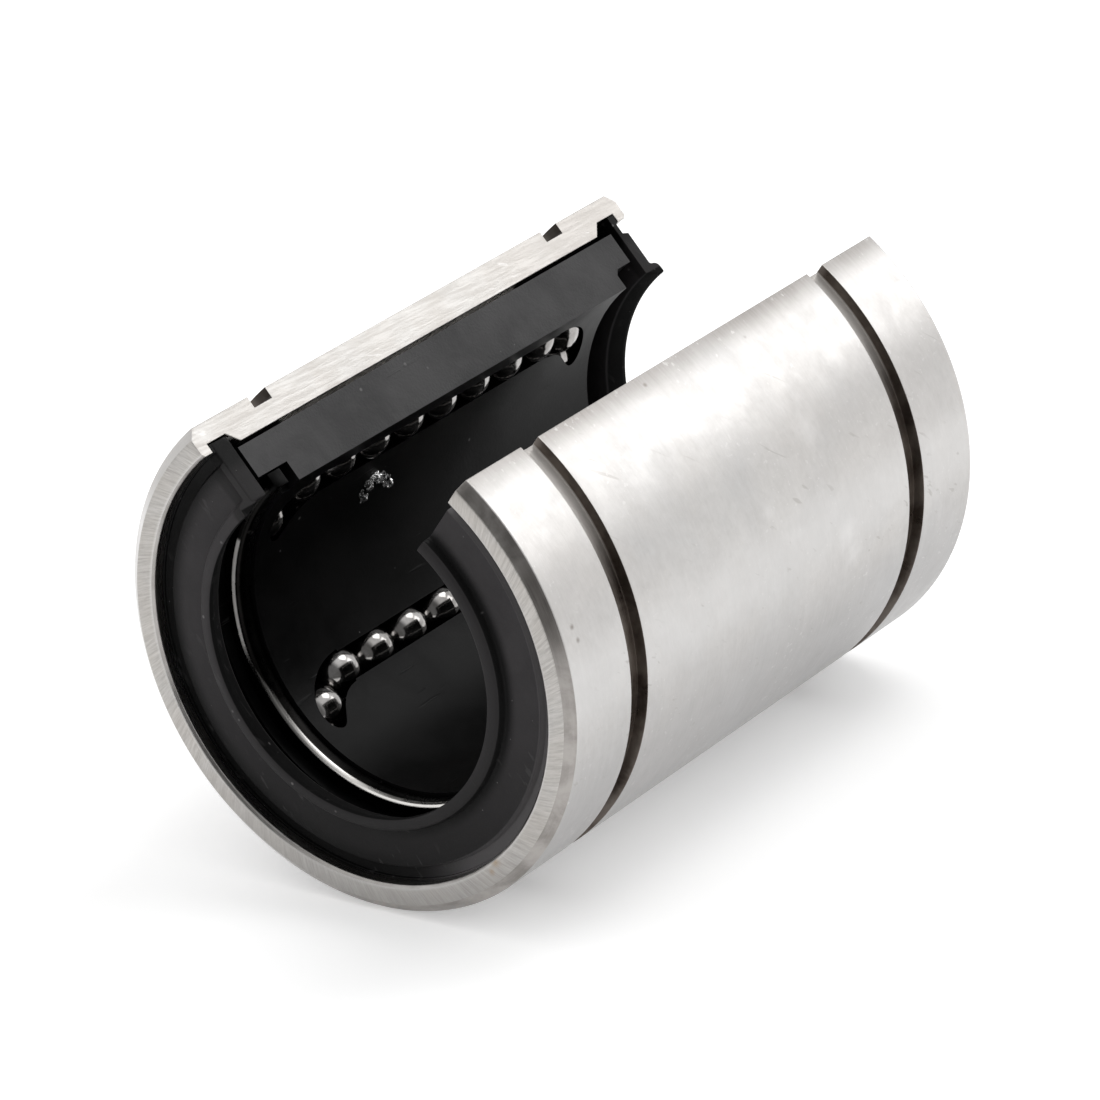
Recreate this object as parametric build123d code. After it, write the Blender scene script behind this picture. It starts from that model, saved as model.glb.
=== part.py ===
from build123d import *
from math import asin, atan2, cos, degrees, hypot, pi, radians, sin
import os

# Open linear ball bearing for a supported shaft. All sizes are in millimetres.
# The bore runs along Y with the front seal at -Y. The opening faces +Z, and an
# angle round the bore is measured from +Z towards +X.

# Shaft, balls and steel sleeve
shaft_diameter = 20.0
ball_diameter = 3.175
sleeve_length = 42.0
sleeve_wall = 2.05
opening_angle = 76.4
end_chamfer_length = 0.57
end_chamfer_height = 0.66

# Raceways: raised lands in the sleeve's relieved bore, over the loaded rows alone
raceway_clearance = 0.01
raceway_height = 0.765
raceway_width = 2.6
raceway_setback = 0.4
raceway_ramp = 0.9

# Grooves for retaining rings in the outside of the sleeve
ring_groove_width = 1.6
ring_groove_depth = 0.75
ring_groove_from_end = 5.75

# Seat for the seal inside each end of the sleeve
seat_depth = 0.8
seat_width = 1.65
seat_slope = 0.75
seat_lip_length = 0.9
seat_lip_height = 0.6
seat_lip_chamfer = 0.2

# Moulded cage
cage_bore_gap = 0.3
cage_running_gap = 0.25
cage_end_gap = 2.45
cage_float = 0.3
step_depth = 1.3
front_step_length = 1.9
rear_step_length = 1.7
front_notch_length = 2.6
front_notch_width = 1.3
step_corner_radius = 0.35

# Ball circuits, two on each side of the opening
upper_row_angle = 54.6
lower_row_angle = 125.5
return_angle = 38.2
crossing_radius = 2.994
turn_from_cage_end = 3.7
return_clearance = 0.04
channel_clearance = 0.0725
turn_clearance = 0.16
landing_clearance = 0.11
ball_play = 0.01
row_overrun = 0.3

# How far a cutting shape reaches past what it cuts
overcut = 1.0
overcut_angle = 5.0

# Rubber seals
seal_recess = 0.7
seal_thickness = 0.85
seal_rim_gap = 0.06
lip_thickness = 0.76
lip_land = 0.39
lip_flare = 0.5
lip_tip_gap = 0.01
lip_crown = 0.19
lip_step = 0.15
rim_groove_width = 0.85
rim_groove_depth = 0.45
rim_groove_slope = 0.15
end_rib_width = 0.9
end_rib_depth = 1.0

# Steel holding ring in the cage's front step
holding_ring_width = 1.15
holding_ring_wall = 1.02
holding_ring_gap = 0.1
holding_ring_round = 0.3

# Sizes that follow from the ones above
shaft_radius = shaft_diameter / 2
ball_radius = ball_diameter / 2
sleeve_end = sleeve_length / 2
cut_angle = opening_angle / 2
load_radius = shaft_radius + ball_radius
raceway_radius = shaft_radius + ball_diameter + raceway_clearance
relief_radius = raceway_radius + raceway_height
sleeve_radius = relief_radius + sleeve_wall
seat_radius = relief_radius + seat_depth
seat_lip_radius = seat_radius - seat_lip_height
seat_outer_end = sleeve_end - seat_lip_length
cage_bore_radius = shaft_radius + cage_bore_gap
cage_outer_radius = relief_radius - cage_running_gap
cage_end = sleeve_end - cage_end_gap
step_radius = cage_bore_radius + step_depth
return_radius = relief_radius - ball_radius - return_clearance
channel_radius = ball_radius + channel_clearance
turn_channel_radius = ball_radius + turn_clearance
landing_channel_radius = ball_radius + landing_clearance
channel_height = cage_outer_radius - load_radius + overcut

# One circuit, seen along the bore with its loaded row on +Z and its return row
# towards +X. Each turn is a quarter circle out of the loaded row, a shallow arc
# round the bore and a quarter circle into the return row, all tangent.
return_x = return_radius * sin(radians(return_angle))
return_z = return_radius * cos(radians(return_angle))
row_distance = hypot(return_x, load_radius - return_z)
half_lean = atan2(load_radius - return_z, return_x)
lean = 2 * half_lean
turn_radius = (row_distance / 2 - crossing_radius * sin(half_lean)) / cos(half_lean)
straight_end = cage_end - turn_from_cage_end - turn_radius
raceway_end = straight_end - cage_float - raceway_setback
quarter_length = turn_radius * pi / 2
crossing_length = crossing_radius * lean
turn_length = 2 * quarter_length + crossing_length
straight_length = 2 * straight_end
loop_length = 2 * (straight_length + turn_length)
crossing_x = turn_radius
crossing_z = load_radius - crossing_radius
landing_x = crossing_x + crossing_radius * sin(lean)
landing_z = crossing_z + crossing_radius * cos(lean)

# Balls stand at equal steps along the loop, just clear of each other in the turns
tightest_pitch = 2 * turn_radius * asin(ball_radius / turn_radius) + ball_play
balls_per_circuit = int(loop_length // tightest_pitch)
ball_pitch = loop_length / balls_per_circuit

# Name, angle of the loaded row, side of the opening, and how far the first ball
# is past the front end of the loaded row, as a share of the pitch
circuits = [
    ("left_upper", upper_row_angle, -1, 0.64),
    ("left_lower", lower_row_angle, -1, 0.05),
    ("right_lower", lower_row_angle, 1, 0.35),
    ("right_upper", upper_row_angle, 1, 0.80),
]


def half_loop_point(distance):
    """Ball centre on a circuit's back half, measured from the loaded row's middle."""
    if distance < straight_end:
        return (0.0, distance, load_radius)
    distance -= straight_end
    if distance < quarter_length:
        turn = distance / turn_radius
        return (turn_radius * (1 - cos(turn)), straight_end + turn_radius * sin(turn), load_radius)
    distance -= quarter_length
    if distance < crossing_length:
        turn = distance / crossing_radius
        x = crossing_x + crossing_radius * sin(turn)
        z = crossing_z + crossing_radius * cos(turn)
        return (x, straight_end + turn_radius, z)
    distance -= crossing_length
    if distance < quarter_length:
        turn = distance / turn_radius
        x = landing_x + turn_radius * sin(turn) * cos(lean)
        z = landing_z - turn_radius * sin(turn) * sin(lean)
        return (x, straight_end + turn_radius * cos(turn), z)
    return (return_x, straight_end - (distance - quarter_length), return_z)


def loop_point(distance):
    """Ball centre on a circuit, measured from the loaded row's front end."""
    from_middle = (distance - straight_end) % loop_length
    if from_middle <= loop_length / 2:
        return half_loop_point(from_middle)
    x, y, z = half_loop_point(loop_length - from_middle)
    return (x, -y, z)


def ball_centre(row_angle, side, distance):
    """Ball centre in the part's frame."""
    x, y, z = loop_point(distance)
    turned = radians(row_angle)
    across = x * cos(turned) + z * sin(turned)
    up = z * cos(turned) - x * sin(turned)
    return (side * across, y + cage_float, up)


def ball_distances(phase):
    """Place of each ball along its loop."""
    return [(phase + step) * ball_pitch for step in range(balls_per_circuit)]


def row_of(distance):
    """Row that a ball stays in while its circuit moves half a pitch either way."""
    reach = ball_pitch / 2 - row_overrun
    if reach <= distance <= straight_length - reach:
        return "load"
    past_turn = distance - straight_length - turn_length
    if reach <= past_turn <= straight_length - reach:
        return "return"
    return "turn"


def direction(angle):
    """Unit vector away from the bore's axis at an angle round it."""
    return Vector(sin(radians(angle)), 0, cos(radians(angle)))


def around_bore(face_on, start, end):
    """Revolve a face, drawn as (radius, place along the bore), from start to end."""
    outward = direction(start)
    plane = Plane(origin=(0, 0, 0), x_dir=outward, z_dir=outward.cross(Vector(0, 1, 0)))
    return revolve(plane * face_on, axis=Axis.Y, revolution_arc=end - start)


def outline(*points):
    """Flat face through points."""
    return make_face(Polyline(*points, close=True))


def open_ring(face_on, overlap=0.0):
    """A C-shaped solid that leaves the shaft's support its opening."""
    return around_bore(face_on, cut_angle - overlap, 360 - cut_angle + overlap)


def both_ends(half):
    """A half profile for y above zero, with its mirror image below."""
    return half + [(radius, -y) for radius, y in reversed(half)]


def build_sleeve():
    groove_outer = sleeve_end - ring_groove_from_end
    groove_inner = groove_outer - ring_groove_width
    groove_floor = sleeve_radius - ring_groove_depth
    outside = [
        (seat_lip_radius + seat_lip_chamfer, sleeve_end),
        (sleeve_radius - end_chamfer_height, sleeve_end),
        (sleeve_radius, sleeve_end - end_chamfer_length),
        (sleeve_radius, groove_outer),
        (groove_floor, groove_outer),
        (groove_floor, groove_inner),
        (sleeve_radius, groove_inner),
    ]
    seat_inner_end = seat_outer_end - seat_width
    inside = [
        (relief_radius, seat_inner_end - seat_slope),
        (seat_radius, seat_inner_end),
        (seat_radius, seat_outer_end),
        (seat_lip_radius, seat_outer_end),
        (seat_lip_radius, sleeve_end - seat_lip_chamfer),
    ]
    sleeve = open_ring(outline(*both_ends(inside + outside)))
    half_width = degrees(asin(raceway_width / 2 / raceway_radius))
    root = relief_radius + raceway_height / 2
    ramp_end = raceway_end + raceway_ramp * (root - raceway_radius) / raceway_height
    land = outline(*both_ends([(raceway_radius, raceway_end), (root, ramp_end)]))
    for _, row_angle, side, _ in circuits:
        middle = side * row_angle
        sleeve += around_bore(land, middle - half_width, middle + half_width)
    return sleeve


def channel_face(radius, centre, across, outward):
    """Round-bottomed channel about a ball's centre, open away from the bore."""
    floor = ThreePointArc((-radius, 0), (0, -radius), (radius, 0))
    walls = Polyline((radius, 0), (radius, channel_height), (-radius, channel_height), (-radius, 0))
    plane = Plane(origin=centre, x_dir=across, z_dir=Vector(across).cross(Vector(outward)))
    return plane * make_face([floor, walls])


def build_turn():
    """Channel of the back turn, from the loaded row round to the return row."""
    leaned = Vector(sin(lean), 0, cos(lean))
    onward = (cos(lean), 0, -sin(lean))
    top = straight_end + turn_radius
    entry = channel_face(turn_channel_radius, (0, straight_end, load_radius), (1, 0, 0), (0, 0, 1))
    first = revolve(entry, axis=Axis((turn_radius, straight_end, 0), (0, 0, -1)), revolution_arc=90)
    middle = channel_face(turn_channel_radius, (crossing_x, top, load_radius), (0, 1, 0), (0, 0, 1))
    crossing_axis = Axis((crossing_x, 0, crossing_z), (0, 1, 0))
    second = revolve(middle, axis=crossing_axis, revolution_arc=degrees(lean))
    landing = channel_face(landing_channel_radius, (return_x, straight_end, return_z), onward, leaned)
    landing_axis = Axis((landing_x, straight_end, landing_z), leaned)
    third = revolve(landing, axis=landing_axis, revolution_arc=90)
    return first + second + third


def build_loop():
    """All the space that one circuit's balls run in."""
    leaned = (sin(lean), 0, cos(lean))
    onward = (cos(lean), 0, -sin(lean))
    load_start = (0, straight_end, load_radius)
    return_start = (return_x, straight_end, return_z)
    load_row = extrude(channel_face(channel_radius, load_start, (1, 0, 0), (0, 0, 1)), straight_length)
    return_row = extrude(channel_face(channel_radius, return_start, onward, leaned), straight_length)
    turn = build_turn()
    return load_row + return_row + turn + mirror(turn, about=Plane.XZ)


def front_step(length):
    """Section of a step cut into the front of the cage's bore."""
    return outline(
        (cage_bore_radius - overcut, -cage_end - overcut),
        (step_radius, -cage_end - overcut),
        (step_radius, -cage_end + length),
        (cage_bore_radius - overcut, -cage_end + length),
    )


def build_cage():
    body = outline(
        (cage_bore_radius, -cage_end),
        (cage_outer_radius, -cage_end),
        (cage_outer_radius, cage_end),
        (step_radius, cage_end),
        (step_radius, cage_end - rear_step_length + step_corner_radius),
        (step_radius - step_corner_radius, cage_end - rear_step_length),
        (cage_bore_radius, cage_end - rear_step_length),
    )
    cage = open_ring(body)
    cage -= open_ring(front_step(front_step_length), overcut_angle)
    notch = front_step(front_notch_length)
    notch_angle = degrees(front_notch_width / step_radius)
    for start in (cut_angle - overcut_angle, -cut_angle - notch_angle):
        cage -= around_bore(notch, start, start + overcut_angle + notch_angle)
    loop = build_loop()
    for _, row_angle, side, _ in circuits:
        placed = Rot(0, row_angle, 0) * loop
        cage -= placed if side > 0 else mirror(placed, about=Plane.YZ)
    return Pos(0, cage_float, 0) * cage


def build_seal():
    """The rear seal: a plate held in the sleeve's seat, with a flared wiping lip."""
    plate_out = sleeve_end - seal_recess
    plate_in = plate_out - seal_thickness
    rim_radius = seat_radius - seal_rim_gap
    plate_radius = seat_lip_radius - seal_rim_gap
    rim_out = seat_outer_end - seal_rim_gap
    lip_radius = shaft_radius
    tip = sleeve_end - lip_tip_gap
    return outline(
        (lip_radius + lip_flare, plate_in),
        (rim_radius, plate_in),
        (rim_radius, rim_out),
        (plate_radius, rim_out),
        (plate_radius, plate_out - rim_groove_depth),
        (plate_radius - rim_groove_width + rim_groove_slope, plate_out - rim_groove_depth),
        (plate_radius - rim_groove_width, plate_out),
        (lip_radius + lip_thickness + lip_step, plate_out),
        (lip_radius + lip_thickness, tip - lip_crown),
        (lip_radius, tip),
        (lip_radius, tip - lip_land),
    )


def build_front_seal():
    seal = mirror(open_ring(build_seal()), about=Plane.XZ)
    plate_in = -(sleeve_end - seal_recess - seal_thickness)
    rib = outline(
        (shaft_radius + lip_flare, plate_in - seal_thickness / 2),
        (seat_radius - seal_rim_gap, plate_in - seal_thickness / 2),
        (seat_radius - seal_rim_gap, plate_in + end_rib_depth),
        (shaft_radius + lip_flare, plate_in + end_rib_depth),
    )
    rib_angle = degrees(end_rib_width / seat_radius)
    return seal + around_bore(rib, -cut_angle - rib_angle, -cut_angle)


def build_holding_ring():
    inner = step_radius - holding_ring_gap - holding_ring_wall
    outer = step_radius - holding_ring_gap
    step_face = -cage_end + front_step_length + cage_float
    back = step_face - holding_ring_gap
    front = back - holding_ring_width
    return open_ring(outline(
        (inner, front + holding_ring_round),
        (inner + holding_ring_round, front),
        (outer, front),
        (outer, back),
        (inner, back),
    ))


def build_balls():
    """Balls by node: a group for each straight row, and one node for each turning ball."""
    groups = {}
    for name, row_angle, side, phase in circuits:
        turning = 0
        for distance in ball_distances(phase):
            row = row_of(distance)
            node = f"{name}_{row}_balls"
            if row == "turn":
                turning += 1
                node = f"{name}_turn_ball_{turning}"
            ball = Pos(*ball_centre(row_angle, side, distance)) * Sphere(ball_radius)
            groups.setdefault(node, []).append(ball)
    return {node: Compound(balls) if len(balls) > 1 else balls[0] for node, balls in groups.items()}


def build_all():
    nodes = {
        "sleeve": build_sleeve(),
        "cage": build_cage(),
        "front_seal": build_front_seal(),
        "rear_seal": open_ring(build_seal()),
        "front_holding_ring": build_holding_ring(),
    }
    nodes.update(build_balls())
    return nodes


os.makedirs("parts", exist_ok=True)
for node_name, shape in build_all().items():
    export_step(shape, f"parts/{node_name}.step")
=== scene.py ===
from math import asin, cos, degrees, hypot, pi, radians, sin

import bmesh
import bpy
from mathutils import Euler, Matrix, Vector, noise


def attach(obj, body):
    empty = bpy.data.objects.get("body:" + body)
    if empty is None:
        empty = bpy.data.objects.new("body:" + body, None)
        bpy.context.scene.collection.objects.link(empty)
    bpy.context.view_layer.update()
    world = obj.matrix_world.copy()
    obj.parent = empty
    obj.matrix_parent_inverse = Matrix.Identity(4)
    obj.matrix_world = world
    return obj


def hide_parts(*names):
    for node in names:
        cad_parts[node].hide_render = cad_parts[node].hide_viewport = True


# Open linear ball bearing, lying with its opening up and its front seal towards
# -Y. Lengths are in metres unless a table is said to be in millimetres. Angles
# round the bore are in degrees and run from +Z towards +X.

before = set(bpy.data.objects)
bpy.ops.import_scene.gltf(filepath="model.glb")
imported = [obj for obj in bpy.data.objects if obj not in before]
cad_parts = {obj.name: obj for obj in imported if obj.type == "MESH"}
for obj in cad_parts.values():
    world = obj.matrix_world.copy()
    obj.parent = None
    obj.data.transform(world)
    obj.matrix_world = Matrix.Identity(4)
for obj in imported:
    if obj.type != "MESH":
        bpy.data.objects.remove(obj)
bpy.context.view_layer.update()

mm = 0.001
um = 0.000001
half_turn = 180.0
cut_angle = 38.2
sleeve_radius = 16.0 * mm
bore_radius = 10.3 * mm
floor_height = -16.0 * mm

white = (1, 1, 1, 1)
bright_steel = (0.66, 0.65, 0.64)
fresh_steel = (0.70, 0.69, 0.68)


# Helpers for shader nodes

def give(tree, socket, value):
    """Link a socket to an input, or set the input's own value."""
    if isinstance(value, bpy.types.NodeSocket):
        tree.links.new(value, socket)
    else:
        socket.default_value = value


def put(tree, kind, settings=None, inputs=None):
    """Add one shader node with its settings and its inputs, which are values or sockets."""
    made = tree.nodes.new(kind)
    for name, value in (settings or {}).items():
        setattr(made, name, value)
    for name, value in (inputs or {}).items():
        give(tree, made.inputs[name], value)
    return made


def calc(tree, operation, first, second=0.0):
    """A Math node's result."""
    return put(tree, "ShaderNodeMath", {"operation": operation}, {0: first, 1: second}).outputs[0]


def times(tree, first, second):
    return calc(tree, "MULTIPLY", first, second)


def plus(tree, first, second):
    return calc(tree, "ADD", first, second)


def summed(tree, value, *parts):
    """A value with masks added to it, each as strongly as given."""
    for mask, strength in parts:
        value = plus(tree, value, times(tree, mask, strength))
    return value


def spread(tree, value, low, high, to_low=0.0, to_high=1.0):
    """Stretch a value's range, held at both ends and eased between them."""
    inputs = {"Value": value, "From Min": low, "From Max": high,
              "To Min": to_low, "To Max": to_high}
    return put(tree, "ShaderNodeMapRange", {"interpolation_type": "SMOOTHSTEP"}, inputs).outputs[0]


def fade(tree, value, low, high):
    """1 below a range of a value, 0 above it and eased between."""
    return spread(tree, value, low, high, 1.0, 0.0)


def band(tree, value, rise, fall):
    """1 between two ranges of a value, 0 outside them and eased over each."""
    return times(tree, spread(tree, value, *rise), fade(tree, value, *fall))


def blend_colour(tree, amount, under, over):
    """Lay one colour over another. Each is a socket or its red, green and blue."""
    factor, lower, upper, result = 0, 6, 7, 2
    made = put(tree, "ShaderNodeMix", {"data_type": "RGBA", "clamp_result": True})
    give(tree, made.inputs[factor], amount)
    for index, colour in ((lower, under), (upper, over)):
        give(tree, made.inputs[index], (*colour, 1) if isinstance(colour, tuple) else colour)
    return made.outputs[result]


def layered(tree, colour, *layers):
    """Lay colours over another, each through its mask and as strongly as given."""
    for mask, strength, over in layers:
        amount = mask if strength == 1 else times(tree, mask, strength)
        colour = blend_colour(tree, amount, colour, over)
    return colour


def axes(tree, vector):
    """A vector's X, Y and Z."""
    return put(tree, "ShaderNodeSeparateXYZ", None, {"Vector": vector}).outputs


def joined(tree, x, y, z):
    """A vector from its X, Y and Z."""
    return put(tree, "ShaderNodeCombineXYZ", None, {"X": x, "Y": y, "Z": z}).outputs[0]


def scaled_by(tree, vector, x, y, z):
    """Coordinates multiplied by a value or a socket along each axis."""
    return put(tree, "ShaderNodeVectorMath", {"operation": "MULTIPLY"},
               {0: vector, 1: joined(tree, x, y, z)}).outputs[0]


def stretched(tree, vector, scale, turn):
    """Coordinates turned by degrees and then scaled by a different amount along each axis."""
    turned = put(tree, "ShaderNodeMapping", {"vector_type": "POINT"}, {
        "Vector": vector, "Rotation": [radians(angle) for angle in turn]}).outputs[0]
    return put(tree, "ShaderNodeMapping", {"vector_type": "POINT"}, {
        "Vector": turned, "Scale": scale}).outputs[0]


def speckle(tree, vector, scale, detail=3.0, roughness=0.55, distortion=0.0):
    """Noise from 0 to 1."""
    return put(tree, "ShaderNodeTexNoise", None, {
        "Vector": vector, "Scale": scale, "Detail": detail, "Roughness": roughness,
        "Distortion": distortion}).outputs["Fac"]


def effect(name, inputs, outputs):
    """An empty node group with named inputs and outputs."""
    tree = bpy.data.node_groups.new(name, "ShaderNodeTree")
    for label, kind, default in inputs:
        socket = tree.interface.new_socket(name=label, in_out="INPUT", socket_type=kind)
        if default is not None:
            socket.default_value = default
    for label, kind in outputs:
        tree.interface.new_socket(name=label, in_out="OUTPUT", socket_type=kind)
    start = tree.nodes.new("NodeGroupInput")
    end = tree.nodes.new("NodeGroupOutput")
    return tree, start.outputs, end.inputs


def mask_effect(name, *inputs):
    """An empty node group that makes a mask from coordinates and other inputs."""
    return effect(name, [("Vector", "NodeSocketVector", None), *inputs],
                  [("Mask", "NodeSocketFloat")])


def use(tree, group, **inputs):
    """Place an effect in a material and give its outputs."""
    made = tree.nodes.new("ShaderNodeGroup")
    made.node_tree = group
    for name, value in inputs.items():
        give(tree, made.inputs[name], value)
    return made.outputs


def mask_of(tree, group, place, **inputs):
    """The mask that an effect makes at these coordinates."""
    return use(tree, group, Vector=place, **inputs)["Mask"]


# Effects that several finishes share

def make_line_effect():
    """Fine lines along X and Z that vary quickly along Y, as grinding leaves on a turned part."""
    tree, given, result = mask_effect(
        "grinding_lines", ("Across", "NodeSocketFloat", 6000.0),
        ("Along", "NodeSocketFloat", 160.0))
    scaled = scaled_by(tree, given["Vector"], given["Along"], given["Across"], given["Along"])
    fine = speckle(tree, scaled, 1.0, detail=4.0, roughness=0.7)
    tree.links.new(spread(tree, fine, 0.3, 0.7), result["Mask"])
    return tree


def make_scratch_effect():
    """Sparse thin scratches along one direction, broken up by a slow noise."""
    tree, given, result = mask_effect(
        "thin_scratches", ("Turn", "NodeSocketVector", (0, 0, 0)),
        ("Fineness", "NodeSocketFloat", 2500.0), ("Length", "NodeSocketFloat", 90.0),
        ("Rarity", "NodeSocketFloat", 0.66))
    softness = 0.06
    turned = put(tree, "ShaderNodeVectorRotate", {"rotation_type": "EULER_XYZ"},
                 {"Vector": given["Vector"], "Rotation": given["Turn"]}).outputs[0]
    scaled = scaled_by(tree, turned, given["Fineness"], given["Length"], given["Fineness"])
    fine = speckle(tree, scaled, 1.0, detail=2.0, roughness=0.5)
    thin = spread(tree, fine, given["Rarity"], plus(tree, given["Rarity"], softness))
    patches = spread(tree, speckle(tree, given["Vector"], 220.0, detail=2.0), 0.42, 0.62)
    tree.links.new(times(tree, thin, patches), result["Mask"])
    return tree


def make_smudge_effect():
    """Cloudy patches, as wiped oil and handling leave."""
    tree, given, result = mask_effect(
        "smudges", ("Size", "NodeSocketFloat", 220.0), ("Contrast", "NodeSocketFloat", 0.2))
    middle = 0.5
    cloud = speckle(tree, given["Vector"], given["Size"], detail=6.0, roughness=0.6,
                    distortion=0.35)
    low = calc(tree, "SUBTRACT", middle, given["Contrast"])
    high = plus(tree, middle, given["Contrast"])
    tree.links.new(spread(tree, cloud, low, high), result["Mask"])
    return tree


def make_spot_effect():
    """A stain with a ragged edge at one place."""
    tree, given, result = mask_effect(
        "stain_spot", ("Place", "NodeSocketVector", (0, 0, 0)),
        ("Radius", "NodeSocketFloat", 0.001))
    away = put(tree, "ShaderNodeVectorMath", {"operation": "DISTANCE"},
               {0: given["Vector"], 1: given["Place"]}).outputs["Value"]
    ragged = speckle(tree, given["Vector"], 1500.0, detail=4.0)
    edge = plus(tree, away, times(tree, ragged, given["Radius"]))
    inner = times(tree, given["Radius"], 0.45)
    outer = times(tree, given["Radius"], 1.5)
    tree.links.new(fade(tree, edge, inner, outer), result["Mask"])
    return tree


def make_dust_effect():
    """Small pale specks scattered over a dark surface."""
    tree, given, result = mask_effect(
        "dust_specks", ("Size", "NodeSocketFloat", 2600.0), ("Amount", "NodeSocketFloat", 0.05))
    largest, core = 0.36, 0.4
    cells = put(tree, "ShaderNodeTexVoronoi", {"feature": "F1"},
                {"Vector": given["Vector"], "Scale": given["Size"]})
    chances = put(tree, "ShaderNodeSeparateColor", None,
                  {"Color": cells.outputs["Color"]}).outputs
    chosen = calc(tree, "LESS_THAN", chances["Red"], given["Amount"])
    size = times(tree, chances["Green"], largest)
    round_speck = fade(tree, cells.outputs["Distance"], times(tree, size, core), size)
    tree.links.new(times(tree, chosen, round_speck), result["Mask"])
    return tree


def make_polar_effect():
    """Distance from the bore's axis, and how far round it a point is, from -1 to 1."""
    tree, given, result = effect("round_the_bore", [("Vector", "NodeSocketVector", None)],
                                 [("Radius", "NodeSocketFloat"), ("Turn", "NodeSocketFloat")])
    apart = axes(tree, given["Vector"])
    squares = plus(tree, times(tree, apart["X"], apart["X"]), times(tree, apart["Z"], apart["Z"]))
    tree.links.new(calc(tree, "SQRT", squares), result["Radius"])
    angle = calc(tree, "ARCTAN2", apart["X"], apart["Z"])
    tree.links.new(calc(tree, "DIVIDE", angle, pi), result["Turn"])
    return tree


def make_honing_effect():
    """Short marks that run round the bore and slant along it."""
    tree, given, result = mask_effect(
        "honing_marks", ("Slant", "NodeSocketFloat", 0.7),
        ("Fineness", "NodeSocketFloat", 5000.0), ("Length", "NodeSocketFloat", 420.0))
    along = axes(tree, given["Vector"])["Y"]
    turn = use(tree, round_the_bore, Vector=given["Vector"])["Turn"]
    around = times(tree, turn, pi * sleeve_radius)
    across = plus(tree, along, times(tree, given["Slant"], around))
    onward = calc(tree, "SUBTRACT", around, times(tree, given["Slant"], along))
    flat = joined(tree, times(tree, across, given["Fineness"]),
                  times(tree, onward, given["Length"]), 0.0)
    marks = speckle(tree, flat, 1.0, roughness=0.6)
    tree.links.new(spread(tree, marks, 0.36, 0.66), result["Mask"])
    return tree


grinding_lines = make_line_effect()
thin_scratches = make_scratch_effect()
smudges = make_smudge_effect()
stain_spot = make_spot_effect()
dust_specks = make_dust_effect()
round_the_bore = make_polar_effect()
honing_marks = make_honing_effect()


# Finishes

def finish_start(name, **plain):
    """A new material: its tree, its shader and the object's own coordinates."""
    made = bpy.data.materials.new(name)
    made.use_nodes = True
    tree = made.node_tree
    tree.nodes.clear()
    shader = put(tree, "ShaderNodeBsdfPrincipled")
    for label, value in plain.items():
        shader.inputs[label.replace("_", " ")].default_value = value
    out = put(tree, "ShaderNodeOutputMaterial")
    tree.links.new(shader.outputs[0], out.inputs["Surface"])
    place = put(tree, "ShaderNodeTexCoord").outputs["Object"]
    return made, tree, shader, place


def feed(tree, shader, **sockets):
    """Link sockets to the shader's inputs. Spaces in their names are written as underscores."""
    for label, socket in sockets.items():
        tree.links.new(socket, shader.inputs[label.replace("_", " ")])


def raise_surface(tree, height, distance):
    """A Bump node's normal."""
    return put(tree, "ShaderNodeBump", None,
               {"Height": height, "Distance": distance, "Strength": 1.0}).outputs[0]


def off_opening(tree, turn):
    """How far round from the middle of the opening, either way, in degrees."""
    return times(tree, calc(tree, "ABSOLUTE", turn), half_turn)


def lay_stains(tree, place, colour, stains, shade):
    """Ragged stains, each with its place and its radius in millimetres and its strength."""
    for spot, radius, strength in stains:
        mask = mask_of(tree, stain_spot, place, Place=[c * mm for c in spot], Radius=radius * mm)
        colour = layered(tree, colour, (mask, strength, shade))
    return colour


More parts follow.
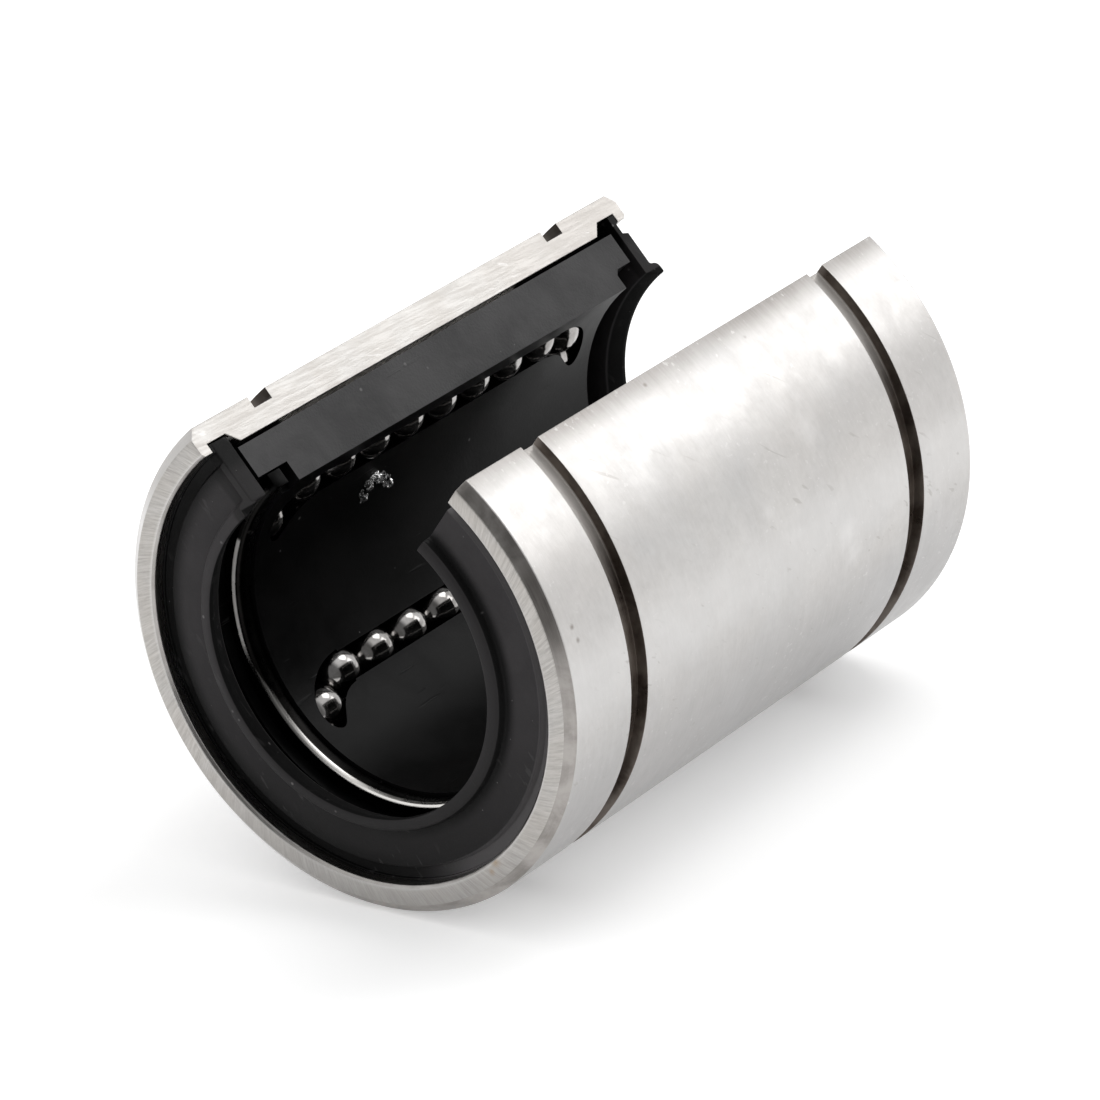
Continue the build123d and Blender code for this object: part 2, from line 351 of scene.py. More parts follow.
def make_ground_outside():
    """Ground steel, with painted shade beside the cuts and low down and a painted highlight band
    at the sides.
    """
    made, tree, shader, place = finish_start("ground_outside", Metallic=1.0, Anisotropic=0.25)
    lines = mask_of(tree, grinding_lines, place, Across=5200.0, Along=140.0)
    clouds = mask_of(tree, smudges, place, Size=120.0, Contrast=0.2)
    mottle = mask_of(tree, smudges, place, Size=520.0, Contrast=0.3)
    grit = mask_of(tree, smudges, place, Size=1900.0, Contrast=0.22)
    warm = mask_of(tree, smudges, stretched(tree, place, (1, 1, 1), (40, 10, 70)),
                   Size=90.0, Contrast=0.16)
    crossing = mask_of(tree, thin_scratches, place, Turn=(radians(38), 0, radians(20)))
    around = mask_of(tree, thin_scratches, place, Turn=(0, 0, radians(90)),
                     Fineness=3200.0, Length=60.0, Rarity=0.64)
    hatched = times(tree, mask_of(tree, honing_marks, place, Slant=0.75),
                    spread(tree, mottle, 0.1, 0.9))
    hatched = calc(tree, "MAXIMUM", hatched, mask_of(tree, honing_marks, place, Slant=-0.4))
    off = off_opening(tree, use(tree, round_the_bore, Vector=place)["Turn"])
    # Painted shade beside the cuts, tinted by the warm clouds.
    painted_shade_by_cut = times(tree, fade(tree, off, cut_angle, 45.0), spread(tree, warm, 0.0, 1.0, 0.75, 1.0))
    # Painted highlight in a band at the sides, and painted shade low down.
    painted_highlight_band = band(tree, off, (76.0, 87.0), (90.0, 101.0))
    low = spread(tree, off, 95.0, 116.0, 0.0, 0.7)
    colour = blend_colour(tree, clouds, (0.492, 0.487, 0.484), (0.572, 0.56, 0.547))
    colour = layered(tree, colour,
                     (warm, 0.35, (0.55, 0.52, 0.495)),
                     (mottle, 0.2, (0.40, 0.385, 0.37)),
                     (grit, 0.22, (0.38, 0.365, 0.352)),
                     (hatched, 0.1, bright_steel),
                     (painted_shade_by_cut, 1, (0.28, 0.264, 0.25)),
                     (painted_highlight_band, 0.42, (0.66, 0.652, 0.645)),
                     (low, 1, (0.4, 0.394, 0.393)),
                     (lines, 0.1, fresh_steel),
                     (crossing, 0.4, (0.33, 0.31, 0.29)),
                     (around, 0.35, fresh_steel))
    brown, pale = (0.13, 0.10, 0.08), (0.78, 0.77, 0.76)
    colour = lay_stains(tree, place, colour, (
        ((10.43, -3.97, 12.13), 0.22, 0.55), ((10.93, 5.45, 11.69), 0.2, 0.4),
        ((15.44, -19.4, 4.19), 0.24, 0.6), ((15.64, -19.25, 3.37), 0.26, 0.6)), brown)
    # Pale patches: painted highlights at a few places on the outside.
    colour = lay_stains(tree, place, colour, (
        ((15.97, 6.9, -0.6), 1.5, 0.3), ((15.9, 7.5, -2.2), 1.2, 0.28),
        ((15.63, -0.2, 3.5), 1.1, 0.25), ((14.65, 5.5, 6.4), 1.6, 0.3)), pale)
    rough = summed(tree, 0.32, (clouds, 0.08), (mottle, 0.1))
    height = summed(tree, lines, (crossing, -0.8), (grit, 1.4))
    feed(tree, shader, Base_Color=colour, Roughness=rough,
         Normal=raise_surface(tree, height, 1.6 * um))
    return made


def make_end_face():
    """Brushed steel with slanting strokes round the bore, with painted shade low down."""
    made, tree, shader, place = finish_start("turned_end_face", Metallic=1.0)
    polar = use(tree, round_the_bore, Vector=place)
    skewed = plus(tree, times(tree, polar["Turn"], 330.0), times(tree, polar["Radius"], 3600.0))
    across = joined(tree, skewed, times(tree, polar["Radius"], 500.0), 0.0)
    strokes = speckle(tree, across, 1.0, detail=5.0, roughness=0.8)
    strokes = spread(tree, strokes, 0.25, 0.75)
    clouds = mask_of(tree, smudges, place, Size=300.0, Contrast=0.2)
    inner_edge = fade(tree, polar["Radius"], 14.3 * mm, 14.5 * mm)
    # Painted shade low down.
    low = spread(tree, axes(tree, place)["Z"], -14.0 * mm, -7.0 * mm, 0.45, 0.0)
    colour = blend_colour(tree, strokes, (0.3, 0.287, 0.274), (0.58, 0.564, 0.545))
    colour = layered(tree, colour,
                     (clouds, 0.35, (0.46, 0.425, 0.385)),
                     (inner_edge, 0.5, bright_steel),
                     (low, 1, (0.27, 0.262, 0.255)))
    rust = (0.30, 0.20, 0.10)
    colour = lay_stains(tree, place, colour, (
        ((9.32, -21.0, -10.94), 0.5, 0.6), ((9.0, -21.0, -11.6), 0.35, 0.5)), rust)
    rough = summed(tree, 0.3, (strokes, 0.14))
    feed(tree, shader, Base_Color=colour, Roughness=rough,
         Normal=raise_surface(tree, strokes, 4 * um))
    return made


def make_chamfer():
    """Turned steel, with painted shade at the upper right and painted light at the left."""
    made, tree, shader, place = finish_start("end_chamfer", Metallic=1.0)
    apart = axes(tree, place)
    turn = times(tree, use(tree, round_the_bore, Vector=place)["Turn"], half_turn)
    # Painted shade at the upper right and painted light at the left.
    painted_shade_dip = band(tree, turn, (54.0, 65.0), (70.0, 86.0))
    left = times(tree, fade(tree, apart["X"], -10.0 * mm, -4.0 * mm),
                 spread(tree, apart["Z"], 6.0 * mm, 9.5 * mm, 1.0, 0.5))
    clouds = mask_of(tree, smudges, place, Size=420.0, Contrast=0.18)
    lines = mask_of(tree, grinding_lines, place, Across=9000.0, Along=300.0)
    colour = blend_colour(tree, clouds, (0.22, 0.205, 0.192), (0.42, 0.398, 0.38))
    colour = layered(tree, colour,
                     (painted_shade_dip, 0.92, (0.13, 0.12, 0.112)),
                     (left, 1, (0.72, 0.71, 0.70)),
                     (lines, 0.2, (0.45, 0.43, 0.41)))
    rough = summed(tree, 0.34, (clouds, 0.14))
    feed(tree, shader, Base_Color=colour, Roughness=rough,
         Normal=raise_surface(tree, clouds, 10 * um))
    return made


def make_groove():
    """Dark oiled steel, with painted light on the floor high up and painted shade in black beside
    the left cut.
    """
    made, tree, shader, place = finish_start("oiled_groove", Metallic=1.0)
    polar = use(tree, round_the_bore, Vector=place)
    clouds = mask_of(tree, smudges, place, Size=420.0, Contrast=0.2)
    lines = mask_of(tree, grinding_lines, place, Across=7000.0, Along=200.0)
    # Painted light on the floor high up, where the steel is also made less metallic.
    painted_light_high_floor = times(tree, fade(tree, polar["Radius"], 15.3 * mm, 15.42 * mm),
                       spread(tree, axes(tree, place)["Z"], 4.0 * mm, 9.5 * mm))
    # Painted shade in black beside the left cut.
    painted_shade_by_left_cut = times(tree, spread(tree, polar["Turn"], -(cut_angle + 9) / half_turn,
                                     -(cut_angle + 3) / half_turn),
                        calc(tree, "LESS_THAN", polar["Turn"], 0.0))
    colour = blend_colour(tree, clouds, (0.075, 0.06, 0.05), (0.2, 0.175, 0.155))
    colour = layered(tree, colour,
                     (lines, 0.25, (0.3, 0.27, 0.25)),
                     (painted_light_high_floor, 0.9, (0.5, 0.475, 0.45)),
                     (painted_shade_by_left_cut, 0.9, (0.028, 0.024, 0.021)))
    rough = summed(tree, 0.26, (clouds, 0.14))
    metal = calc(tree, "SUBTRACT", 1.0, times(tree, painted_light_high_floor, 0.75))
    feed(tree, shader, Base_Color=colour, Roughness=rough, Metallic=metal,
         Normal=raise_surface(tree, lines, 4 * um))
    return made


def make_cut_face():
    """Milled steel with streaks along the part and a few bright nicks."""
    made, tree, shader, place = finish_start("milled_cut_face", Metallic=1.0)
    streaks = speckle(tree, stretched(tree, place, (5200, 260, 5200), (0, 0, 4)), 1.0,
                      detail=5.0, roughness=0.7)
    streaks = spread(tree, streaks, 0.35, 0.68)
    clouds = mask_of(tree, smudges, place, Size=350.0, Contrast=0.18)
    rearward = spread(tree, axes(tree, place)["Y"], 2.0 * mm, 18.0 * mm)
    nicks = mask_of(tree, thin_scratches, place, Turn=(radians(25), radians(10), 0))
    colour = blend_colour(tree, streaks, (0.508, 0.497, 0.481), (0.466, 0.448, 0.428))
    colour = layered(tree, colour,
                     (clouds, 0.28, (0.43, 0.395, 0.362)),
                     (rearward, 0.6, (0.43, 0.405, 0.382)),
                     (nicks, 0.5, bright_steel))
    rough = summed(tree, 0.42, (streaks, 0.08))
    feed(tree, shader, Base_Color=colour, Roughness=rough,
         Normal=raise_surface(tree, streaks, 6 * um))
    return made


def make_bore_steel():
    """Oiled steel of the sleeve's inside and of the raceways."""
    made, tree, shader, place = finish_start("oiled_bore_steel", Metallic=1.0)
    clouds = mask_of(tree, smudges, place, Size=300.0, Contrast=0.2)
    lines = mask_of(tree, grinding_lines, place, Across=5000.0, Along=200.0)
    colour = blend_colour(tree, clouds, (0.30, 0.285, 0.27), (0.45, 0.435, 0.42))
    rough = summed(tree, 0.22, (lines, 0.12))
    feed(tree, shader, Base_Color=colour, Roughness=rough,
         Normal=raise_surface(tree, lines, 3 * um))
    return made


def make_plastic():
    """Dark moulded plastic, near black in the bore, sawn and greyer on the cut faces."""
    made, tree, shader, place = finish_start("moulded_cage_plastic", Specular_IOR_Level=0.11)
    turn = calc(tree, "ABSOLUTE", use(tree, round_the_bore, Vector=place)["Turn"])
    sawn = calc(tree, "LESS_THAN", turn, (cut_angle + 0.05) / half_turn)
    grain = speckle(tree, place, 5200.0, roughness=0.6)
    clouds = mask_of(tree, smudges, place, Size=260.0, Contrast=0.2)
    specks = mask_of(tree, dust_specks, place, Size=2100.0, Amount=0.035)
    marks = mask_of(tree, thin_scratches, place, Turn=(0, 0, 0), Fineness=2600.0,
                    Length=200.0, Rarity=0.68)
    # Painted light: the bore greyer towards the rear, broken up by clouds.
    painted_light_rear = times(tree, spread(tree, axes(tree, place)["Y"], 2.0 * mm, 15.0 * mm), clouds)
    smooth = blend_colour(tree, clouds, (0.0008, 0.0008, 0.0009), (0.0026, 0.0025, 0.0026))
    smooth = layered(tree, smooth, (painted_light_rear, 0.7, (0.024, 0.0235, 0.024)))
    rubbed_and_painted_highlight = blend_colour(tree, clouds, (0.052, 0.0515, 0.0522), (0.082, 0.081, 0.082))
    colour = blend_colour(tree, sawn, smooth, rubbed_and_painted_highlight)
    colour = layered(tree, colour,
                     (specks, 0.5, (0.22, 0.215, 0.215)),
                     (marks, 0.2, (0.08, 0.08, 0.08)))
    rough = summed(tree, 0.34, (clouds, 0.12), (sawn, 0.2))
    height = summed(tree, times(tree, grain, plus(tree, sawn, 0.25)), (marks, 0.6))
    feed(tree, shader, Base_Color=colour, Roughness=rough,
         Normal=raise_surface(tree, height, 30 * um))
    return made


def make_rubber():
    """Matt black rubber with painted light and shade: greyer high up, a painted shadow in black at
    the rim and beside the lip, and painted shade inside the lip.
    """
    made, tree, shader, place = finish_start("moulded_seal_rubber", Specular_IOR_Level=0.16)
    polar = use(tree, round_the_bore, Vector=place)
    radius, turn = polar["Radius"], polar["Turn"]
    apart = axes(tree, place)
    across = apart["X"]
    from_middle = calc(tree, "ABSOLUTE", apart["Y"])
    grain = speckle(tree, place, 7000.0, detail=4.0, roughness=0.65)
    clouds = mask_of(tree, smudges, place, Size=330.0, Contrast=0.2)
    scuffs = mask_of(tree, thin_scratches, place, Turn=(radians(70), 0, radians(30)),
                     Fineness=2200.0, Length=160.0, Rarity=0.62)
    specks = mask_of(tree, dust_specks, place, Size=2300.0, Amount=0.05)
    # Painted highlight on the lip's top.
    painted_highlight_crown = times(tree, spread(tree, from_middle, 20.6 * mm, 20.95 * mm),
                  spread(tree, radius, 10.0 * mm, 10.5 * mm, 1.0, 0.4))
    by_rib = times(tree, spread(tree, turn, -43.0 / half_turn, -41.2 / half_turn),
                   calc(tree, "LESS_THAN", turn, 0.0))
    # Painted shadow in black at the rim on the left.
    rim = times(tree, spread(tree, radius, 12.2 * mm, 13.35 * mm),
                fade(tree, across, -1.0 * mm, 7.0 * mm))
    # Painted light at the rim on the right, lifting its shade.
    painted_light_rim = times(tree, spread(tree, radius, 13.15 * mm, 13.3 * mm),
                      spread(tree, across, 2.0 * mm, 8.0 * mm))
    # Painted shade on the lip at the right.
    painted_shade_right_lip = times(tree, fade(tree, radius, 10.6 * mm, 11.0 * mm),
                      spread(tree, across, 0.0, 6.0 * mm))
    # Painted shade inside the lip, which is also given a rougher finish.
    painted_shade_inside_lip = times(tree, fade(tree, radius, 10.4 * mm, 10.5 * mm),
                       fade(tree, from_middle, 20.87 * mm, 20.93 * mm))
    # Painted shadow beside the lip on the right side.
    painted_shadow_beside_lip = times(tree, fade(tree, radius, 10.9 * mm, 11.7 * mm),
                       times(tree, spread(tree, across, -5.0 * mm, 5.0 * mm),
                             fade(tree, from_middle, 20.74 * mm, 20.79 * mm)))
    painted_shade_black = calc(tree, "MAXIMUM", calc(tree, "MAXIMUM", rim, painted_shade_inside_lip), painted_shadow_beside_lip)
    # Painted light high up and painted shade low down.
    low = blend_colour(tree, clouds, (0.006, 0.0056, 0.0058), (0.0105, 0.0098, 0.0103))
    high = blend_colour(tree, clouds, (0.029, 0.0268, 0.0282), (0.042, 0.0391, 0.0409))
    colour = blend_colour(tree, spread(tree, apart["Z"], -14.0 * mm, 2.0 * mm), low, high)
    colour = layered(tree, colour,
                     (painted_highlight_crown, 0.2, (0.06, 0.058, 0.059)),
                     (by_rib, 0.75, (0.012, 0.0112, 0.0115)),
                     (painted_light_rim, 0.85, (0.14, 0.134, 0.137)),
                     (painted_shade_right_lip, 0.7, (0.017, 0.016, 0.0165)),
                     (painted_shade_black, 0.95, (0.001, 0.001, 0.001)),
                     (specks, 0.45, (0.25, 0.24, 0.24)),
                     (scuffs, 0.2, (0.1, 0.097, 0.097)))
    rough = summed(tree, 0.55, (clouds, 0.12), (painted_shade_inside_lip, 0.3))
    feed(tree, shader, Base_Color=colour, Roughness=rough,
         Normal=raise_surface(tree, grain, 14 * um))
    return made


def make_ball_chrome():
    """Polished steel under a thin film of oil."""
    made, tree, shader, place = finish_start("polished_ball_steel", Metallic=1.0)
    film = mask_of(tree, smudges, place, Size=900.0, Contrast=0.2)
    colour = blend_colour(tree, film, (0.29, 0.278, 0.268), (0.46, 0.449, 0.44))
    feed(tree, shader, Base_Color=colour, Roughness=summed(tree, 0.12, (film, 0.06)))
    return made


def make_ring_steel():
    """Blackened steel with a painted highlight in a thin line round its front edge and a painted
    glint high on its left side.
    """
    made, tree, shader, place = finish_start("rubbed_ring_steel", Metallic=1.0)
    polar = use(tree, round_the_bore, Vector=place)
    off = off_opening(tree, polar["Turn"])
    film = mask_of(tree, smudges, place, Size=600.0, Contrast=0.2)
    # Painted highlight: a thin line whose radius and strength change round the ring.
    line = spread(tree, off, 104.0, 124.0, 10.87 * mm, 10.57 * mm)
    off_line = calc(tree, "ABSOLUTE", calc(tree, "SUBTRACT", polar["Radius"], line))
    front = fade(tree, axes(tree, place)["Y"], -17.3 * mm, -17.2 * mm)
    upper = band(tree, off, (64.5, 66.5), (100.0, 114.0))
    lower = spread(tree, off, 112.0, 160.0, 0.15, 1.0)
    rubbed_and_painted_highlight = times(tree, fade(tree, off_line, 0.08 * mm, 0.16 * mm), front)
    rubbed_and_painted_highlight = times(tree, rubbed_and_painted_highlight, calc(tree, "MAXIMUM", upper, lower))
    cut_end = fade(tree, off, 41.0, 43.0)
    colour = blend_colour(tree, film, (0.004, 0.0037, 0.0035), (0.01, 0.0095, 0.009))
    colour = layered(tree, colour,
                     (rubbed_and_painted_highlight, 1, (0.85, 0.83, 0.80)),
                     (cut_end, 1, (0.002, 0.002, 0.002)))
    # Grey spots: a painted glint high on the left side.
    painted_glint_grey = (0.5, 0.49, 0.47)
    colour = lay_stains(tree, place, colour, (
        ((-9.22, -17.3, 4.97), 0.22, 0.8), ((-9.33, -17.0, 4.77), 0.2, 0.8)), painted_glint_grey)
    rough = summed(tree, 0.24, (film, 0.1))
    metal = calc(tree, "SUBTRACT", 1.0, times(tree, times(tree, upper, rubbed_and_painted_highlight), 0.85))
    feed(tree, shader, Base_Color=colour, Roughness=rough, Metallic=metal)
    return made


def make_grease():
    """Shiny grease, with painted highlights pale at its thick end and painted shade dark in its
    folds.
    """
    made, tree, shader, place = finish_start("bearing_grease", Metallic=0.8, Roughness=0.12,
                                             Coat_Weight=0.8, Coat_Roughness=0.05)
    folds = speckle(tree, place, 700.0, detail=1.0, roughness=0.4, distortion=0.7)
    thick_end = spread(tree, axes(tree, place)["Y"], -6.0 * mm, -4.9 * mm, 0.16, 1.0)
    # Painted highlights on the crests of the folds, mostly at the thick end, and painted shade in
    # the folds.
    pale = times(tree, spread(tree, folds, 0.36, 0.44), thick_end)
    colour = blend_colour(tree, pale, (0.01, 0.01, 0.01), (0.95, 0.95, 0.95))
    feed(tree, shader, Base_Color=colour, Normal=raise_surface(tree, folds, 60 * um))
    return made


bore_steel = make_bore_steel()
cage_plastic = make_plastic()
seal_rubber = make_rubber()
ball_chrome = make_ball_chrome()
ring_steel = make_ring_steel()
grease = make_grease()

sleeve_finishes = {
    "outside": make_ground_outside(), "end_face": make_end_face(), "chamfer": make_chamfer(),
    "groove": make_groove(), "cut": make_cut_face(), "bore": bore_steel}


# Helpers for shapes

def at(radius, along, angle):
    """A point in the part's frame."""
    return Vector((radius * sin(radians(angle)), along, radius * cos(radians(angle))))


def in_metres(profile):
    """A table of radii and places along the bore, given in millimetres."""
    return [(radius * mm, along * mm) for radius, along in profile]


def both_ends(half):
    """A half profile for places past the middle, with its mirror image."""
    return half + [(radius, -along) for radius, along in reversed(half)]


def revolve(bm, profile, start, end, rounding, step=2.0):
    """A solid turned about the bore's axis, closed at both ends, its sharp edges rounded."""
    sharp_from = radians(20)
    before = {*bm.faces, *bm.edges}
    corners = [bm.verts.new(at(radius, along, start)) for radius, along in profile]
    flat = bm.faces.new(corners)
    bmesh.ops.spin(bm, geom=corners + list(flat.edges) + [flat], cent=(0, 0, 0), axis=(0, 1, 0),
                   angle=radians(end - start), steps=max(2, round((end - start) / step)))
    made = [face for face in bm.faces if face not in before]
    bmesh.ops.recalc_face_normals(bm, faces=made)
    sharp = [edge for edge in bm.edges
             if edge not in before and edge.calc_face_angle(0) > sharp_from]
    bmesh.ops.bevel(bm, geom=sharp, offset=rounding, offset_type="OFFSET", segments=2,
                    profile=0.5, affect="EDGES", material=-1, clamp_overlap=True)


def new_object(name, bm, materials):
    """An object with this bmesh as its shape."""
    mesh = bpy.data.meshes.new(name)
    bm.to_mesh(mesh)
    bm.free()
    for material in materials:
        mesh.materials.append(material)
    made = bpy.data.objects.new(name, mesh)
    bpy.context.scene.collection.objects.link(made)
    return made


def piece(name, bm, materials, body="housing", sharp=40.0):
    """Turn a bmesh into a smooth-shaded object that rides on a body."""
    for edge in bm.edges:
        edge.smooth = len(edge.link_faces) != 2 or edge.calc_face_angle(0) < radians(sharp)
    for face in bm.faces:
        face.smooth = True
    made = new_object(name, bm, materials)
    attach(made, body)
    return made


def turned_piece(name, bm, materials):
    """A revolved piece, with its flat faces shaded flat beside their small rounded edges."""
    made = piece(name, bm, materials)
    weighted = made.modifiers.new("even_shading", "WEIGHTED_NORMAL")
    weighted.weight = 100
    weighted.keep_sharp = True
    return made


# Steel sleeve. Its half profile, in millimetres, from the relief in its bore
# over the seat of the seal, the end face and the chamfer to the ring groove.

sleeve_half = [
    (13.95, 17.7), (14.75, 18.45), (14.75, 20.1), (14.15, 20.1), (14.15, 20.8), (14.35, 21.0),
    (15.34, 21.0), (16.0, 20.43), (16.0, 15.25), (15.25, 15.25), (15.25, 13.65), (16.0, 13.65)]


def sleeve_surface(face):
    """Which finish a face of the sleeve has, by its place and the way it faces."""
    centre = face.calc_center_median()
    radius = hypot(centre.x, centre.z)
    along = abs(centre.y)
    outward = Vector((centre.x, 0, centre.z)).normalized()
    around = outward.cross(Vector((0, 1, 0)))
    if abs(face.normal.dot(around)) > 0.75:
        return "cut"
    if 13.6 * mm < along < 15.3 * mm and 15.2 * mm < radius < 15.96 * mm:
        return "groove"
    if along > 20.95 * mm and radius > 14.1 * mm:
        return "end_face"
    if along > 20.45 * mm and radius > 15.36 * mm:
        return "chamfer"
    if radius > 15.9 * mm:
        return "outside"
    return "bore"


def make_sleeve():
    bm = bmesh.new()
    revolve(bm, both_ends(in_metres(sleeve_half)), cut_angle, 360 - cut_angle,
            rounding=0.06 * mm)
    order = list(sleeve_finishes)
    for face in bm.faces:
        face.material_index = order.index(sleeve_surface(face))
    made = turned_piece("steel_sleeve", bm, sleeve_finishes.values())
    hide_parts("sleeve")


def make_raceways():
    """Raised hardened lands that the loaded balls roll on."""
    land_radius, land_half_width = 13.185, 1.3
    land = both_ends(in_metres([(land_radius, 10.85), (13.99, 11.8)]))
    half_angle = degrees(asin(land_half_width / land_radius))
    bm = bmesh.new()
    for middle in (-125.5, -54.6, 54.6, 125.5):
        revolve(bm, land, middle - half_angle, middle + half_angle, rounding=0.05 * mm)
    turned_piece("raceway_lands", bm, [bore_steel])


# Seals and holding ring. The profiles are in millimetres. Both seals share the
# body and the lip, which are written for the rear end.

seal_body = [
    (10.5, 19.45), (14.69, 19.45), (14.69, 20.04), (14.09, 20.04), (14.09, 19.85), (13.39, 19.85),
    (13.24, 20.3)]
seal_lip = [
    (10.97, 20.3), (10.88, 20.38), (10.82, 20.62), (10.74, 20.8), (10.6, 20.91), (10.4, 20.965),
    (10.16, 20.985), (10.03, 20.95), (10.0, 20.85), (10.0, 20.6)]
rib_profile = [(10.5, -19.87), (14.69, -19.87), (14.69, -18.45), (10.5, -18.45)]
rib_angle = degrees(0.9 / 14.75)
ring_profile = [
    (10.48, -17.3), (10.51, -17.42), (10.6, -17.52), (10.74, -17.58), (10.9, -17.6),
    (11.5, -17.6), (11.5, -16.45), (10.48, -16.45)]


def make_seal(name, node, end, with_rib):
    """The seal at the rear (end = 1) or the front (end = -1)."""
    bm = bmesh.new()
    profile = [(radius, end * along) for radius, along in seal_body + seal_lip]
    under_rib = 0.25 if with_rib else 0.0
    revolve(bm, in_metres(profile), cut_angle, 360 - cut_angle - under_rib, rounding=0.05 * mm)
    if with_rib:
        revolve(bm, in_metres(rib_profile), -cut_angle - rib_angle, -cut_angle,
                rounding=0.16 * mm, step=1.0)
    made = turned_piece(name, bm, [seal_rubber])
    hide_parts(node)


def make_holding_ring():
    bm = bmesh.new()
    revolve(bm, in_metres(ring_profile), cut_angle, 360 - cut_angle, rounding=0.07 * mm)
    made = turned_piece("holding_ring", bm, [ring_steel])
    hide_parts("front_holding_ring")


# Lobes of the grease smear: angle, then place along the bore, half width round
# it, half length along it and half thickness, in millimetres.

grease_lobes = (
    (-69.4, -5.1, 0.3, 0.42, 0.3), (-71.3, -4.4, 0.36, 0.46, 0.32),
    (-74.0, -3.8, 0.42, 0.4, 0.3), (-76.2, -3.4, 0.3, 0.3, 0.24),
    (-70.8, -5.75, 0.28, 0.26, 0.24), (-72.6, -5.45, 0.36, 0.3, 0.26),
    (-73.8, -6.2, 0.3, 0.22, 0.13), (-76.4, -5.85, 0.26, 0.36, 0.14))


def make_grease_smear():
    """A crumpled smear of grease on the cage's bore, beside the upper left row."""
    lump_height, lump_density = 0.45, 2.1
    ripple_height, ripple_density = 0.06, 5.0
    bm = bmesh.new()
    for angle, along, wide, long_, thick in grease_lobes:
        blob = bmesh.ops.create_icosphere(bm, subdivisions=4, radius=1.0)["verts"]
        lift = at(bore_radius, along * mm, angle)
        turn = Matrix.Rotation(radians(angle), 4, "Y")
        for vert in blob:
            lump = noise.noise(vert.co * lump_density + Vector((angle, along, 0)))
            lump = 1 + lump_height * lump
            co = Vector((vert.co.x * wide * lump, vert.co.y * long_ * lump, vert.co.z * thick))
            co.z += ripple_height * noise.noise(co * ripple_density)
            vert.co = lift + turn @ (co * mm)
    piece("grease_smear", bm, [grease], sharp=180.0)


make_sleeve()
make_raceways()
make_seal("front_end_seal", "front_seal", -1, with_rib=True)
make_seal("rear_end_seal", "rear_seal", 1, with_rib=False)
make_holding_ring()
make_grease_smear()

# CAD pieces that keep their own shape

for node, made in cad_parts.items():
    if node == "cage" or node.endswith("_balls") or "_turn_ball_" in node:
        wanted = cage_plastic if node == "cage" else ball_chrome
        if made.material_slots:
            for material_slot in made.material_slots:
                material_slot.material = wanted
        else:
            made.data.materials.append(wanted)


# Floor, light and camera

def seen_or_mirrored(tree, path):
    """1 for what the camera sees, straight on or in a mirror."""
    mirrored = calc(tree, "MAXIMUM", path["Is Glossy Ray"], path["Is Transmission Ray"])
    return calc(tree, "MAXIMUM", path["Is Camera Ray"], mirrored)


def make_floor():
    """Pale floor that shows as white and still takes the bearing's shadow."""
    glow_strength = 0.28
    bm = bmesh.new()
    bmesh.ops.create_grid(bm, x_segments=1, y_segments=1, size=2.0,
                          matrix=Matrix.Translation((0, 0, floor_height)))
    material = bpy.data.materials.new("white_floor")
    material.use_nodes = True
    tree = material.node_tree
    tree.nodes.clear()
    path = put(tree, "ShaderNodeLightPath").outputs
    along = axes(tree, put(tree, "ShaderNodeTexCoord").outputs["Object"])["Y"]
    # In mirrors the floor in front shows darker: painted shade standing in for the dark room in
    # front.
    in_front = times(tree, fade(tree, along, -0.24, -0.12), path["Is Glossy Ray"])
    matt = put(tree, "ShaderNodeBsdfDiffuse", None, {
        "Color": blend_colour(tree, in_front, (0.92, 0.92, 0.92), (0.15, 0.15, 0.15))})
    seen = times(tree, seen_or_mirrored(tree, path), spread(tree, in_front, 0.0, 1.0, 1.0, 0.2))
    glow = put(tree, "ShaderNodeEmission", None, {
        "Color": white, "Strength": times(tree, seen, glow_strength)})
    both = put(tree, "ShaderNodeAddShader", None, {0: matt.outputs[0], 1: glow.outputs[0]})
    out = put(tree, "ShaderNodeOutputMaterial")
    tree.links.new(both.outputs[0], out.inputs["Surface"])
    made = new_object("floor", bm, [material])


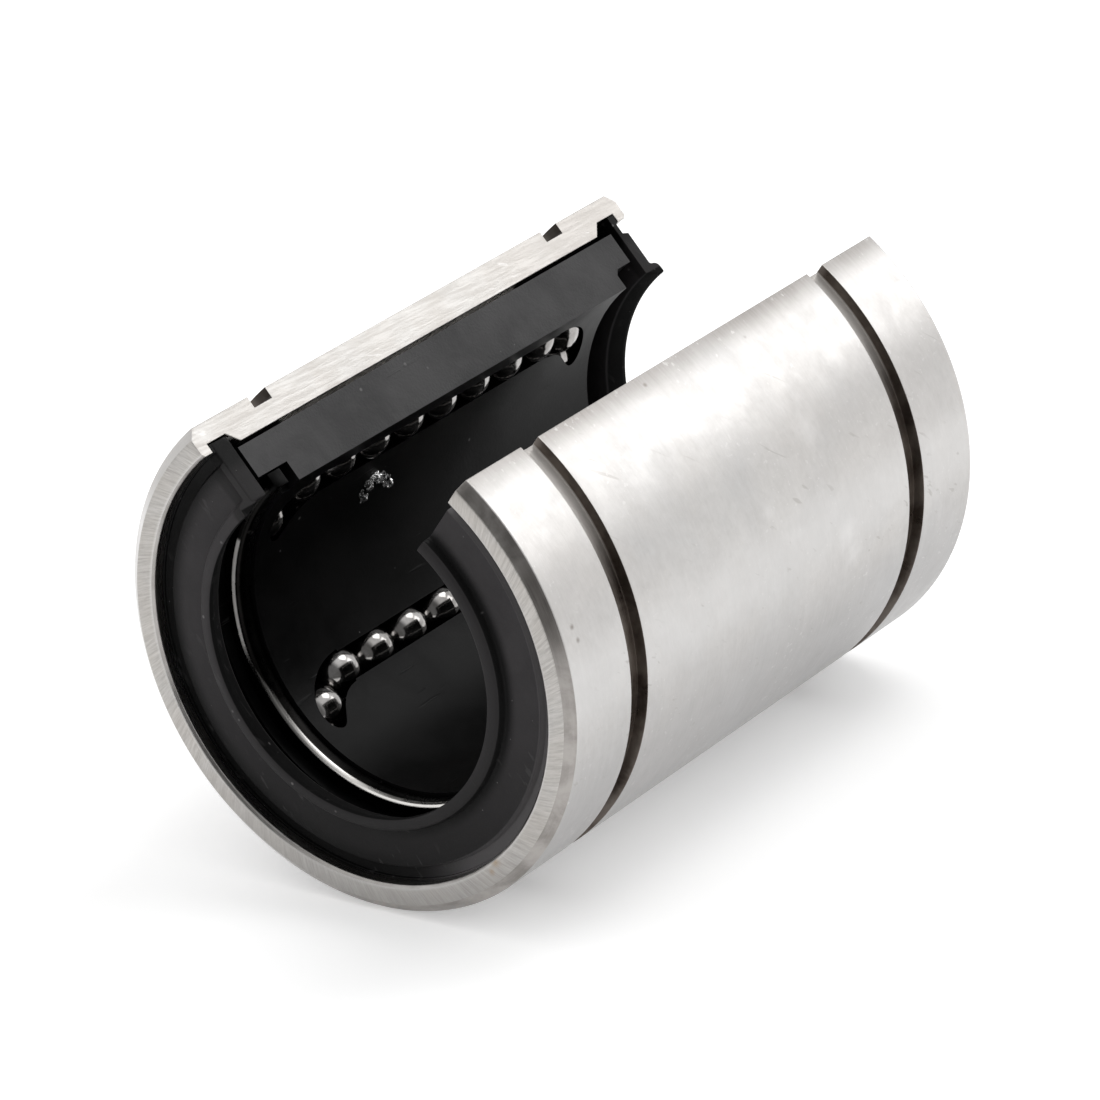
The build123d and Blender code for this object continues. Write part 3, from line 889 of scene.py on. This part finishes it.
def make_world():
    """White surroundings that mirrors see darker in front of the bearing."""
    diffuse_strength, seen_strength = 0.68, 1.0
    world = bpy.data.worlds.new("studio")
    bpy.context.scene.world = world
    world.use_nodes = True
    tree = world.node_tree
    tree.nodes.clear()
    path = put(tree, "ShaderNodeLightPath").outputs
    towards = axes(tree, put(tree, "ShaderNodeTexCoord").outputs["Generated"])
    in_front = times(tree, spread(tree, towards["Y"], -0.5, -0.1, 0.8, 0.0),
                     spread(tree, towards["X"], -0.35, 0.05))
    in_front = times(tree, in_front, path["Is Glossy Ray"])
    plain = spread(tree, seen_or_mirrored(tree, path), 0.0, 1.0, diffuse_strength, seen_strength)
    light = put(tree, "ShaderNodeBackground", None, {
        "Color": white, "Strength": calc(tree, "SUBTRACT", plain, in_front)})
    out = put(tree, "ShaderNodeOutputWorld")
    tree.links.new(light.outputs[0], out.inputs["Surface"])


def make_softbox(name, towards, distance, size, watts):
    """A square lamp that shines at the bearing from a direction."""
    lamp = bpy.data.lights.new(name, "AREA")
    lamp.shape = "SQUARE"
    lamp.size = size
    lamp.energy = watts
    made = bpy.data.objects.new(name, lamp)
    bpy.context.scene.collection.objects.link(made)
    away = Vector(towards).normalized()
    made.location = away * distance
    made.rotation_euler = away.to_track_quat("Z", "Y").to_euler()
    return made


def make_camera():
    lens = bpy.data.cameras.new("photograph")
    lens.lens = 196.26
    lens.sensor_width = 36.0
    made = bpy.data.objects.new("photograph", lens)
    made.location = (0.205077, -0.259014, 0.137768)
    made.rotation_euler = Euler((radians(67.022), radians(5.694), radians(36.092)))
    bpy.context.scene.collection.objects.link(made)
    bpy.context.scene.camera = made


make_floor()
make_world()
key = make_softbox("key", (-0.26, 0.16, 1.0), distance=1.2, size=1.9, watts=5.0)
key.visible_glossy = False
make_softbox("rear_softbox", (0.50, 0.72, 0.50), distance=0.9, size=0.37, watts=1.05)
make_softbox("top_glint", (0.24, 0.44, 0.86), distance=1.0, size=0.42, watts=1.7)
make_camera()
bpy.context.scene.view_settings.view_transform = "Standard"
